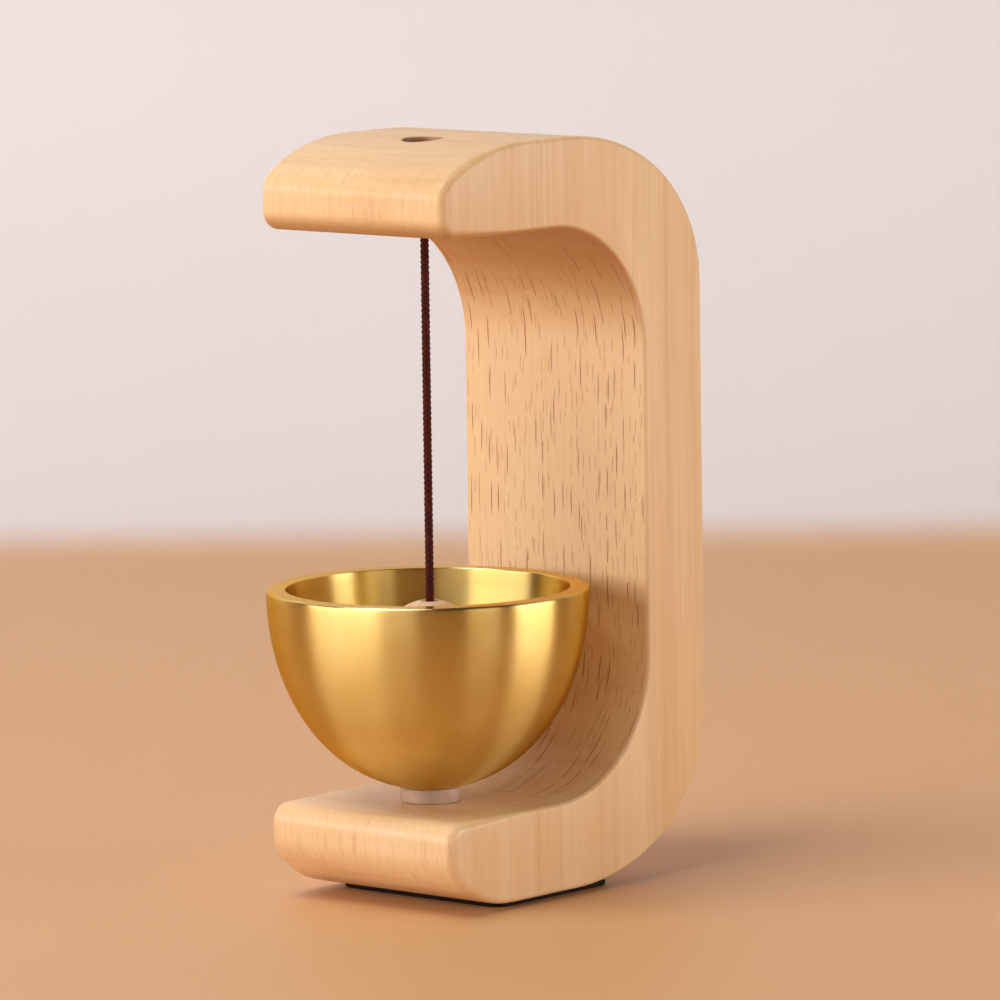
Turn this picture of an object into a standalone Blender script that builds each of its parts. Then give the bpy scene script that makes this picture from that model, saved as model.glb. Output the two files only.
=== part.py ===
"""Table bell: a brass bowl that stands in a C-shaped beech frame, rung by a
wooden bead on a cord.

Metres, +Z up. The open side of the frame faces -Y. The origin is at the bottom
centre of the whole object. Run with: blender --background --python part.py
"""

import math

import bmesh
import bpy
from mathutils import Matrix, Vector

# Driving dimensions
TOTAL_HEIGHT = 0.120
PAD_THICKNESS = 0.0008
GAP = 0.0002                    # air between pieces that touch

FRAME_WIDTH = 0.0380            # along X
FRAME_DEPTH = 0.0628            # along Y
BACK_THICKNESS = 0.0144
ARM_THICKNESS = 0.0141
SIDE_EDGE_ROUND = 0.0013
OUTER_CORNER = (0.0326, 0.0255)     # half axes along Y and Z
OUTER_CORNER_POWER = 2.1
INNER_CORNER = (0.0219, 0.0210)
UPPER_NOSE = (0.0200, 0.0076)       # long round on the outer side of each arm's end
LOWER_NOSE = (0.0140, 0.0086)
NOSE_POWER = 1.8
NOSE_LIP = 0.0031                   # small round on its inner side

PAD_FROM_FRONT = 0.0135
PAD_FROM_BACK = 0.0215
PAD_INSET = 0.0020                  # from the frame's sides
PAD_CORNER = 0.0030

BOWL_RADIUS = 0.0255
BOWL_WALL = 0.0031
BOWL_POWER = 2.1                # a little fuller than an ellipse
BOWL_FROM_FRONT = 0.0170        # bell axis behind the frame's front
RIM_HEIGHT = 0.0492
BOWL_FOOT_RADIUS = 0.0044
BOWL_FLOOR_RADIUS = 0.0052
BOWL_FLOOR_THICKNESS = 0.0031
RIM_CHAMFER = 0.0003
BOWL_HOLE_RADIUS = 0.0022

WASHER_RADIUS = 0.0048
WASHER_HOLE_RADIUS = 0.0021
LOWER_WASHER_THICKNESS = 0.0020
UPPER_WASHER_RADIUS = 0.0044
UPPER_WASHER_THICKNESS = 0.0009

SCREW_RADIUS = 0.00175
SCREW_ROOT_RADIUS = 0.00125
SCREW_PITCH = 0.0014
SCREW_LENGTH = 0.0160           # under the head
SCREW_POINT_LENGTH = 0.0024
SCREW_HEAD_RADIUS = 0.0034
SCREW_HEAD_HEIGHT = 0.0021
RECESS_WIDTH = 0.0008
RECESS_SPAN = 0.0034
RECESS_DEPTH = 0.0013
PILOT_RADIUS = 0.0020

CORD_DIAMETER = 0.0013
CORD_BEHIND_BELL = 0.0005       # cord's hole behind the bell's axis
CORD_HOLE_RADIUS = 0.0012
CORD_MOUTH_CHAMFER = 0.0004
CORD_END_GAP = 0.0003
COUNTERBORE_RADIUS = 0.0033
COUNTERBORE_DEPTH = 0.0052
PIVOT_ABOVE_MOUTH = 0.0009
TOP_KNOT_RADIUS = 0.0022
TOP_KNOT_HEIGHT = 0.0036
BOTTOM_KNOT_RADIUS = 0.0019
BOTTOM_KNOT_HEIGHT = 0.0032

BEAD_RADIUS = 0.0080
BEAD_BELOW_RIM = 0.0101         # bead's centre under the rim
BEAD_BORE_RADIUS = 0.0012

# Places that follow from them
TOTAL_DEPTH = FRAME_DEPTH + BOWL_RADIUS - BOWL_FROM_FRONT
BACK_Y = TOTAL_DEPTH / 2
FRONT_Y = BACK_Y - FRAME_DEPTH
BELL_Y = FRONT_Y + BOWL_FROM_FRONT
CORD_Y = BELL_Y + CORD_BEHIND_BELL
BASE_Z = PAD_THICKNESS + GAP
ARM_TOP_Z = BASE_Z + ARM_THICKNESS
UPPER_ARM_Z = TOTAL_HEIGHT - ARM_THICKNESS
BOWL_FOOT_Z = ARM_TOP_Z + LOWER_WASHER_THICKNESS + 2 * GAP
BOWL_FLOOR_Z = BOWL_FOOT_Z + BOWL_FLOOR_THICKNESS
SCREW_SEAT_Z = BOWL_FLOOR_Z + UPPER_WASHER_THICKNESS + 2 * GAP
PIVOT = Vector((0, CORD_Y, UPPER_ARM_Z + PIVOT_ABOVE_MOUTH))
BEAD_Z = RIM_HEIGHT - BEAD_BELOW_RIM
BOTTOM_KNOT_Z = BEAD_Z - BEAD_RADIUS - GAP - BOTTOM_KNOT_HEIGHT / 2
COUNTERBORE_FLOOR_Z = TOTAL_HEIGHT - COUNTERBORE_DEPTH
TOP_KNOT_Z = COUNTERBORE_FLOOR_Z + GAP + TOP_KNOT_HEIGHT / 2


def clear_scene():
    for old in list(bpy.data.objects):
        bpy.data.objects.remove(old, do_unlink=True)


def new_collection(name):
    collection = bpy.data.collections.new(name)
    bpy.context.scene.collection.children.link(collection)
    return collection


def make_material(name, colour, roughness, metallic=0.0):
    material = bpy.data.materials.new(name)
    material.use_nodes = True
    shader = material.node_tree.nodes["Principled BSDF"]
    shader.inputs["Base Color"].default_value = (*colour, 1.0)
    shader.inputs["Roughness"].default_value = roughness
    shader.inputs["Metallic"].default_value = metallic
    material.diffuse_color = (*colour, 1.0)
    return material


def place(obj, collection, material=None, location=(0, 0, 0), parent=None):
    """Link an object, give it its material, and hang it on its parent empty."""
    collection.objects.link(obj)
    if material:
        obj.data.materials.append(material)
    obj.parent = parent
    offset = Vector(parent.location) if parent else Vector((0, 0, 0))
    obj.location = Vector(location) - offset
    return obj


def smooth(mesh, sharp_degrees=35):
    mesh.shade_smooth()
    mesh.set_sharp_from_angle(angle=math.radians(sharp_degrees))


def arc(centre, half_axes, start, end, steps, power=2.0):
    """Points on an ellipse's arc, or on a squarer or flatter one by its power."""
    points = []
    for i in range(steps + 1):
        angle = math.radians(start + (end - start) * i / steps)
        c = math.cos(angle)
        s = math.sin(angle)
        across = math.copysign(abs(c) ** (2 / power), c) * half_axes[0]
        up = math.copysign(abs(s) ** (2 / power), s) * half_axes[1]
        points.append((centre[0] + across, centre[1] + up))
    return points


def without_repeats(points, smallest=1e-6):
    kept = [points[0]]
    for point in points[1:]:
        if math.dist(point, kept[-1]) > smallest:
            kept.append(point)
    if math.dist(kept[0], kept[-1]) <= smallest:
        kept.pop()
    return kept


def frame_outline():
    """The C seen from +X, as (y, z) points, from the upper nose round the back."""
    inner_y = BACK_Y - BACK_THICKNESS
    outer_y = BACK_Y - OUTER_CORNER[0]
    upper_nose = (FRONT_Y + UPPER_NOSE[0], TOTAL_HEIGHT - UPPER_NOSE[1])
    lower_nose = (FRONT_Y + LOWER_NOSE[0], BASE_Z + LOWER_NOSE[1])
    lip = (NOSE_LIP, NOSE_LIP)
    lip_y = FRONT_Y + NOSE_LIP
    corner_y = inner_y - INNER_CORNER[0]
    points = []
    points += arc(upper_nose, UPPER_NOSE, 180, 90, 14, NOSE_POWER)
    points += arc((outer_y, TOTAL_HEIGHT - OUTER_CORNER[1]), OUTER_CORNER, 90, 0, 18, OUTER_CORNER_POWER)
    points += arc((outer_y, BASE_Z + OUTER_CORNER[1]), OUTER_CORNER, 0, -90, 18, OUTER_CORNER_POWER)
    points += arc(lower_nose, LOWER_NOSE, -90, -180, 12, NOSE_POWER)
    points += arc((lip_y, ARM_TOP_Z - NOSE_LIP), lip, 180, 90, 6)
    points += arc((corner_y, ARM_TOP_Z + INNER_CORNER[1]), INNER_CORNER, -90, 0, 14)
    points += arc((corner_y, UPPER_ARM_Z - INNER_CORNER[1]), INNER_CORNER, 0, 90, 14)
    points += arc((lip_y, UPPER_ARM_Z + NOSE_LIP), lip, -90, -180, 6)
    return without_repeats(points)


def flat_mesh(name, outline, thickness, turn=None):
    """A filled 2D outline given a thickness, as a closed mesh about its middle plane."""
    curve = bpy.data.curves.new(name + "_outline", "CURVE")
    curve.dimensions = "2D"
    curve.fill_mode = "BOTH"
    curve.extrude = thickness / 2
    spline = curve.splines.new("POLY")
    spline.points.add(len(outline) - 1)
    for point, (across, up) in zip(spline.points, outline):
        point.co = (across, up, 0, 1)
    spline.use_cyclic_u = True
    guide = bpy.data.objects.new(name + "_outline", curve)
    bpy.context.scene.collection.objects.link(guide)
    bpy.context.view_layer.update()
    evaluated = guide.evaluated_get(bpy.context.evaluated_depsgraph_get())
    mesh = bpy.data.meshes.new_from_object(evaluated)
    bpy.data.objects.remove(guide, do_unlink=True)
    work = bmesh.new()
    work.from_mesh(mesh)
    bmesh.ops.remove_doubles(work, verts=work.verts, dist=1e-6)
    bmesh.ops.dissolve_limit(work, angle_limit=math.radians(0.1), verts=work.verts, edges=work.edges)
    if turn:
        bmesh.ops.transform(work, matrix=turn, verts=work.verts)
    bmesh.ops.recalc_face_normals(work, faces=work.faces)
    work.to_mesh(mesh)
    work.free()
    mesh.name = name
    return mesh


def turned(name, profile, steps, collection, material, location, parent=None):
    """A ring-like turned piece: a closed (radius, height) loop, outer side running down."""
    mesh = bpy.data.meshes.new(name)
    vertices = [(radius, 0, height) for radius, height in profile]
    edges = [(i, (i + 1) % len(profile)) for i in range(len(profile))]
    mesh.from_pydata(vertices, edges, [])
    obj = bpy.data.objects.new(name, mesh)
    place(obj, collection, material, location, parent)
    screw = obj.modifiers.new("turn", "SCREW")
    screw.axis = "Z"
    screw.steps = steps
    screw.render_steps = steps
    screw.use_merge_vertices = True
    screw.merge_threshold = 1e-6
    screw.use_smooth_shade = True
    return obj


def make_cutter(name, collection, radius_top, radius_bottom, top, bottom, y, segments=32):
    """An upright round cutter between two heights; a cone where its radii differ."""
    mesh = bpy.data.meshes.new(name)
    work = bmesh.new()
    bmesh.ops.create_cone(work, cap_ends=True, segments=segments, radius1=radius_bottom,
                          radius2=radius_top, depth=top - bottom)
    work.to_mesh(mesh)
    work.free()
    cutter = bpy.data.objects.new(name, mesh)
    place(cutter, collection, None, (0, y, (top + bottom) / 2))
    hide_cutter(cutter)
    return cutter


def hide_cutter(cutter):
    cutter.hide_render = True
    cutter.display_type = "WIRE"


def cut(obj, cutter):
    boolean = obj.modifiers.new("cut_" + cutter.name, "BOOLEAN")
    boolean.operation = "DIFFERENCE"
    boolean.solver = "EXACT"
    boolean.object = cutter


def round_edges(obj, width, segments, angle_degrees=50):
    bevel = obj.modifiers.new("round_edges", "BEVEL")
    bevel.width = width
    bevel.segments = segments
    bevel.limit_method = "ANGLE"
    bevel.angle_limit = math.radians(angle_degrees)
    bevel.use_clamp_overlap = False


def make_frame(parts, cutters, material, root):
    """The C-shaped frame with its cord hole, counterbore and the screw's pilot hole."""
    side_view = Matrix(((0, 0, 1, 0), (1, 0, 0, 0), (0, 1, 0, 0), (0, 0, 0, 1)))
    mesh = flat_mesh("wood_frame", frame_outline(), FRAME_WIDTH, side_view)
    frame = place(bpy.data.objects.new("wood_frame", mesh), parts, material, parent=root)
    round_edges(frame, SIDE_EDGE_ROUND, 3)
    over = 0.002
    mouth_top = UPPER_ARM_Z + CORD_MOUTH_CHAMFER
    mouth_radius = CORD_HOLE_RADIUS + CORD_MOUTH_CHAMFER
    cut(frame, make_cutter("counterbore", cutters, COUNTERBORE_RADIUS, COUNTERBORE_RADIUS,
                           TOTAL_HEIGHT + over, COUNTERBORE_FLOOR_Z, CORD_Y))
    cut(frame, make_cutter("cord_hole", cutters, CORD_HOLE_RADIUS, CORD_HOLE_RADIUS,
                           TOTAL_HEIGHT, UPPER_ARM_Z - over, CORD_Y, 20))
    cut(frame, make_cutter("cord_mouth", cutters, CORD_HOLE_RADIUS, mouth_radius + over,
                           mouth_top, UPPER_ARM_Z - over, CORD_Y, 20))
    pilot_bottom = SCREW_SEAT_Z - SCREW_LENGTH - GAP
    cut(frame, make_cutter("pilot_hole", cutters, PILOT_RADIUS, PILOT_RADIUS,
                           ARM_TOP_Z + over, pilot_bottom, BELL_Y, 20))
    smooth(frame.data)


def make_pad(parts, material, root):
    """The thin pad under the flat of the base, with rounded corners."""
    corner = (PAD_CORNER, PAD_CORNER)
    corner_x = FRAME_WIDTH / 2 - PAD_INSET - PAD_CORNER
    front = FRONT_Y + PAD_FROM_FRONT + PAD_CORNER
    back = BACK_Y - PAD_FROM_BACK - PAD_CORNER
    outline = []
    outline += arc((corner_x, back), corner, 0, 90, 4)
    outline += arc((-corner_x, back), corner, 90, 180, 4)
    outline += arc((-corner_x, front), corner, 180, 270, 4)
    outline += arc((corner_x, front), corner, 270, 360, 4)
    mesh = flat_mesh("base_pad", without_repeats(outline), PAD_THICKNESS)
    place(bpy.data.objects.new("base_pad", mesh), parts, material,
          (0, 0, PAD_THICKNESS / 2), root)


def bowl_curve(rim_radius, end_radius, depth):
    """Half axes of the curve from the rim's edge down to end_radius, and the angle it ends at."""
    end_angle = math.acos((end_radius / rim_radius) ** (BOWL_POWER / 2))
    half_height = depth / math.sin(end_angle) ** (2 / BOWL_POWER)
    return (rim_radius, half_height), math.degrees(end_angle)


def bowl_profile():
    """Section of the bowl from the rim down its outside, in to the hole and back up."""
    depth = RIM_HEIGHT - BOWL_FOOT_Z
    inner_radius = BOWL_RADIUS - BOWL_WALL
    outside, foot_angle = bowl_curve(BOWL_RADIUS, BOWL_FOOT_RADIUS, depth)
    inside, floor_angle = bowl_curve(inner_radius, BOWL_FLOOR_RADIUS, depth - BOWL_FLOOR_THICKNESS)
    outer = arc((0, depth), outside, -2, -foot_angle, 16, BOWL_POWER)
    inner = arc((0, depth), inside, -floor_angle, -2, 14, BOWL_POWER)
    profile = [(BOWL_RADIUS - RIM_CHAMFER, depth), (BOWL_RADIUS, depth - RIM_CHAMFER)]
    profile += outer
    profile += [(BOWL_HOLE_RADIUS, 0), (BOWL_HOLE_RADIUS, BOWL_FLOOR_THICKNESS)]
    profile += inner
    profile += [(inner_radius, depth - RIM_CHAMFER), (inner_radius + RIM_CHAMFER, depth)]
    return profile


def washer_profile(outer, inner, thickness, edge):
    """Section of a flat washer whose outer edges are rounded off."""
    return [(outer - edge, thickness), (outer, thickness - edge), (outer, edge), (outer - edge, 0),
            (inner, 0), (inner, thickness)]


def make_bell(parts, brass, soft, root, bell_axis):
    turned("bell_bowl", bowl_profile(), 56, parts, brass, bell_axis.location, bell_axis)
    lower = washer_profile(WASHER_RADIUS, WASHER_HOLE_RADIUS, LOWER_WASHER_THICKNESS, 0.0003)
    turned("lower_washer", lower, 28, parts, soft, (0, BELL_Y, ARM_TOP_Z + GAP), root)
    upper = washer_profile(UPPER_WASHER_RADIUS, WASHER_HOLE_RADIUS, UPPER_WASHER_THICKNESS, 0.0002)
    turned("upper_washer", upper, 28, parts, soft, (0, BELL_Y, BOWL_FLOOR_Z + GAP), root)


def thread_radius(angle, height):
    """Radius of the threaded shank: a ridge that climbs one pitch in each turn."""
    phase = (height / SCREW_PITCH - angle / (2 * math.pi)) % 1.0
    ridge = max(0.0, 1.0 - abs(phase - 0.5) * 4.0)
    return SCREW_ROOT_RADIUS + (SCREW_RADIUS - SCREW_ROOT_RADIUS) * ridge


def screw_point(around, along):
    """Point of the screw's skin; along runs from the head's top, 0, to the point, 1."""
    angle = 2 * math.pi * around
    head_share = 0.14
    if along <= head_share:
        quarter = 0.5 * math.pi * along / head_share
        radius = SCREW_HEAD_RADIUS * math.sin(quarter)
        height = SCREW_HEAD_HEIGHT * math.cos(quarter)
    else:
        down = (along - head_share) / (1.0 - head_share)
        height = -SCREW_LENGTH * down
        taper = min(1.0, (SCREW_LENGTH + height) / SCREW_POINT_LENGTH)
        radius = thread_radius(angle, height) * taper
    return Vector((radius * math.cos(angle), radius * math.sin(angle), height))


def make_screw(parts, cutters, material, root):
    """A pan-head wood screw: a grid wrapped round its axis, with a cross recess."""
    columns = 14
    rows = 64
    mesh = bpy.data.meshes.new("bell_screw")
    work = bmesh.new()
    bmesh.ops.create_grid(work, x_segments=columns, y_segments=rows, size=0.5)
    for vertex in work.verts:
        vertex.co = screw_point(vertex.co.x + 0.5, 0.5 - vertex.co.y)
    bmesh.ops.remove_doubles(work, verts=work.verts, dist=1e-6)
    bmesh.ops.recalc_face_normals(work, faces=work.faces)
    work.to_mesh(mesh)
    work.free()
    screw = bpy.data.objects.new("bell_screw", mesh)
    place(screw, parts, material, (0, BELL_Y, SCREW_SEAT_Z + GAP), root)
    smooth(mesh)
    for name, size in (("recess_x", (RECESS_SPAN, RECESS_WIDTH)), ("recess_y", (RECESS_WIDTH, RECESS_SPAN))):
        slot = bpy.data.meshes.new(name)
        work = bmesh.new()
        bmesh.ops.create_cube(work, size=1.0, matrix=Matrix.Diagonal((*size, 2 * RECESS_DEPTH, 1)))
        work.to_mesh(slot)
        work.free()
        cutter = bpy.data.objects.new(name, slot)
        place(cutter, cutters, None, (0, BELL_Y, SCREW_SEAT_Z + GAP + SCREW_HEAD_HEIGHT))
        hide_cutter(cutter)
        cut(screw, cutter)


def make_cord(name, top, bottom, parts, material, parent):
    """A straight hanging stretch of the cord, from top to bottom on the cord's axis."""
    count = max(2, round((top - bottom) / (2.5 * CORD_DIAMETER)) + 1)
    curve = bpy.data.curves.new(name, "CURVE")
    curve.dimensions = "3D"
    curve.bevel_depth = CORD_DIAMETER / 2
    curve.bevel_resolution = 2
    curve.use_fill_caps = True
    spline = curve.splines.new("POLY")
    spline.points.add(count - 1)
    for i, point in enumerate(spline.points):
        height = top + (bottom - top) * i / (count - 1)
        point.co = (0, 0, height - PIVOT.z, 1)
    cord = bpy.data.objects.new(name, curve)
    place(cord, parts, material, PIVOT, parent)


def make_ball(name, radius, height, centre_z, parts, material, parent, segments=20, rings=12):
    """A knot or bend of the cord as one plain rounded lump."""
    mesh = bpy.data.meshes.new(name)
    work = bmesh.new()
    scale = Matrix.Diagonal((radius, radius, height / 2, 1))
    bmesh.ops.create_uvsphere(work, u_segments=segments, v_segments=rings, radius=1.0, matrix=scale)
    bmesh.ops.translate(work, verts=work.verts, vec=(0, 0, centre_z - PIVOT.z))
    work.to_mesh(mesh)
    work.free()
    ball = bpy.data.objects.new(name, mesh)
    place(ball, parts, material, PIVOT, parent)
    smooth(mesh)


def bead_profile():
    """Section of the bead: its round outside from top to bottom, then the bore."""
    bore_angle = math.degrees(math.acos(BEAD_BORE_RADIUS / BEAD_RADIUS))
    return arc((0, 0), (BEAD_RADIUS, BEAD_RADIUS), bore_angle, -bore_angle, 20)


def make_striker(parts, cord_material, wood, root, pivot):
    ball_radius = CORD_DIAMETER / 2
    make_ball("top_knot", TOP_KNOT_RADIUS, TOP_KNOT_HEIGHT, TOP_KNOT_Z, parts, cord_material, root)
    make_cord("cord_in_arm", TOP_KNOT_Z - TOP_KNOT_HEIGHT / 2 - CORD_END_GAP,
              PIVOT.z + ball_radius + CORD_END_GAP, parts, cord_material, root)
    make_ball("cord_bend", ball_radius, CORD_DIAMETER, PIVOT.z, parts, cord_material, pivot, 12, 8)
    make_cord("striker_cord", PIVOT.z - ball_radius - CORD_END_GAP,
              BOTTOM_KNOT_Z + BOTTOM_KNOT_HEIGHT / 2 + CORD_END_GAP, parts, cord_material, pivot)
    make_ball("bottom_knot", BOTTOM_KNOT_RADIUS, BOTTOM_KNOT_HEIGHT, BOTTOM_KNOT_Z,
              parts, cord_material, pivot)
    turned("striker_bead", bead_profile(), 36, parts, wood, (0, CORD_Y, BEAD_Z), pivot)


def make_empty(name, collection, location):
    empty = bpy.data.objects.new(name, None)
    empty.empty_display_size = 0.01
    empty.location = location
    collection.objects.link(empty)
    return empty


def main():
    clear_scene()
    parts = new_collection("table_bell")
    cutters = new_collection("cutters")
    beech = make_material("beech", (0.80, 0.55, 0.33), 0.55)
    brass = make_material("satin_brass", (0.80, 0.56, 0.20), 0.30, 1.0)
    silicone = make_material("clear_silicone", (0.62, 0.48, 0.40), 0.35)
    cord = make_material("dark_cord", (0.045, 0.010, 0.009), 0.80)
    pale_wood = make_material("pale_bead_wood", (0.82, 0.64, 0.45), 0.50)
    black = make_material("black_pad", (0.015, 0.012, 0.012), 0.80)
    steel = make_material("screw_steel", (0.60, 0.60, 0.60), 0.30, 1.0)
    root = make_empty("assembly", parts, (0, 0, 0))
    bell_axis = make_empty("bell_axis", parts, (0, BELL_Y, BOWL_FOOT_Z))
    pivot = make_empty("swing_pivot", parts, PIVOT)
    make_frame(parts, cutters, beech, root)
    make_pad(parts, black, root)
    make_bell(parts, brass, silicone, root, bell_axis)
    make_screw(parts, cutters, steel, root)
    make_striker(parts, cord, pale_wood, root, pivot)
    bpy.context.view_layer.update()


main()
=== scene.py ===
"""Looks of the table bell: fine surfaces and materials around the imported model."""

import math

import bmesh
import bpy
from mathutils import Matrix, Vector


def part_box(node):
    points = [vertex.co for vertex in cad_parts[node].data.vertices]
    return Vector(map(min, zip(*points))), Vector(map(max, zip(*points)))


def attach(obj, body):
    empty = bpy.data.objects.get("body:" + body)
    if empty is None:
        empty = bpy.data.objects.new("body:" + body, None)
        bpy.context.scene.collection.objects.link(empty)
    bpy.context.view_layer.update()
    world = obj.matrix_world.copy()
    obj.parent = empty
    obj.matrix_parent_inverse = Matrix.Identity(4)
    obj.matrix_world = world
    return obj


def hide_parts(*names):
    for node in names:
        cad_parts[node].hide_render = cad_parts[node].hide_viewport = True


# Sizes that repeat the CAD's (metres)
BACK_THICKNESS = 0.0144
ARM_THICKNESS = 0.0141
OUTER_CORNER = (0.0326, 0.0255)     # half axes along Y and Z
OUTER_CORNER_POWER = 2.1
INNER_CORNER = (0.0219, 0.0210)
UPPER_NOSE = (0.0200, 0.0076)       # long round on the outer side of each arm's end
LOWER_NOSE = (0.0140, 0.0086)
NOSE_POWER = 1.8
NOSE_LIP = 0.0031                   # small round on its inner side
COUNTERBORE_RADIUS = 0.0033
COUNTERBORE_DEPTH = 0.0052
CORD_HOLE_RADIUS = 0.0012
BOWL_WALL = 0.0031
BOWL_POWER = 2.1
BOWL_FOOT_RADIUS = 0.0044
BOWL_FLOOR_RADIUS = 0.0052
BOWL_FLOOR_THICKNESS = 0.0031
BOWL_HOLE_RADIUS = 0.0022
WASHER_HOLE_RADIUS = 0.0021
PAD_CORNER = 0.0030
BEAD_BORE_RADIUS = 0.0012
CORD_DIAMETER = 0.0013

# Edges that are softer or finer than the CAD's
NOSE_EDGE_ROUND = 0.0015
SIDE_EDGE_ROUND = 0.0007
NOSE_EDGE_LENGTH = 0.004            # how far back the noses' wider round runs
EDGE_BLEND_LENGTH = 0.012           # and how far it takes to narrow
COUNTERBORE_ROUND = 0.0004
CORD_HOLE_COUNTERSINK = 0.0003
CORD_MOUTH_CHAMFER = 0.0005
RIM_OUTER_ROUND = 0.0005
RIM_INNER_ROUND = 0.0003
LOWER_WASHER_ROUND = 0.0004
UPPER_WASHER_ROUND = 0.0003
PAD_EDGE_ROUND = 0.0002
BEAD_EDGE_ROUND = 0.0004

# The braid
CORD_STRANDS = 4                    # wound each way
CORD_PITCH = 0.0034                 # one turn of a strand
STRAND_SHARE = 0.235                # a strand's radius in cord diameters
BRAID_STEP = 0.0002
STRAND_SIDES = 6

# Fineness of the other meshes
OUTLINE_STEP = 0.0007
EDGE_STEPS = 7
NOSE_STEPS = 60
LIP_STEPS = 24
OUTER_CORNER_STEPS = 90
INNER_CORNER_STEPS = 70
PAD_CORNER_STEPS = 12
BOWL_STEPS = 220
BOWL_OUTSIDE_STEPS = 80
BOWL_INSIDE_STEPS = 70
RIM_STEPS = 6
INNER_RIM_STEPS = 8
WASHER_STEPS = 72
WASHER_EDGE_STEPS = 6
BEAD_STEPS = 120
BEAD_SIDE_STEPS = 90
BEAD_EDGE_STEPS = 5
CUTTER_STEPS = 64
CUTTER_OVERSHOOT = 0.002

# The backdrop (metres)
WALL_DISTANCE = 0.58
WALL_CURVE = 0.20
WALL_CURVE_STEPS = 16
WALL_HEIGHT = 2.2
FLOOR_FRONT = -2.5
STAGE_HALF_WIDTH = 3.0
WALL_COLOUR_HEIGHT = 0.006          # the table's colour has turned into the wall's by here
LIGHT_AIM_HEIGHT = 0.05

# The camera: where it looks from, and how long its lens is
CAMERA_AZIMUTH = 40.7
CAMERA_ELEVATION = 7.1
CAMERA_ROLL = -0.8
CAMERA_DISTANCE = 1.190
CAMERA_FOCUS_HEIGHT = 0.0614
CAMERA_FOCUS_RIGHT = 0.0022
CAMERA_LENS = 269.8

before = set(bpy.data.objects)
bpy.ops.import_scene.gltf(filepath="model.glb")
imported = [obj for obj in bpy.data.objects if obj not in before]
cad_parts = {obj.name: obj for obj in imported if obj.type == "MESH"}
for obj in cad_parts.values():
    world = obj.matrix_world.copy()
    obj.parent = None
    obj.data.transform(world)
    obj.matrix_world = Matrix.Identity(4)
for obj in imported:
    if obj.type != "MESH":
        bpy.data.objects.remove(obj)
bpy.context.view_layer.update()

wood_low, wood_high = (Vector(corner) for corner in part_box("wood_frame"))
bowl_low, bowl_high = (Vector(corner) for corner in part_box("bell_bowl"))
bead_low, bead_high = (Vector(corner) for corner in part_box("striker_bead"))
cord_low, cord_high = (Vector(corner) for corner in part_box("striker_cord"))
top_knot_low, top_knot_high = (Vector(corner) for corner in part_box("top_knot"))
bottom_knot_low, bottom_knot_high = (Vector(corner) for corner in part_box("bottom_knot"))
bend_low, bend_high = (Vector(corner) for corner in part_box("cord_bend"))
pad_low, pad_high = (Vector(corner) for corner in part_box("base_pad"))
lower_washer_high = Vector(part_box("lower_washer")[1])
upper_washer_high = Vector(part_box("upper_washer")[1])

BELL_Y = (bowl_low.y + bowl_high.y) / 2
CORD_Y = (cord_low.y + cord_high.y) / 2
BOWL_RADIUS = (bowl_high.x - bowl_low.x) / 2
BEAD_RADIUS = (bead_high.x - bead_low.x) / 2
BEAD_Z = (bead_low.z + bead_high.z) / 2
PIVOT_Z = (bend_low.z + bend_high.z) / 2
ARM_TOP_Z = wood_low.z + ARM_THICKNESS
UPPER_ARM_Z = wood_high.z - ARM_THICKNESS


# ---------------------------------------------------------------- node helpers

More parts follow.
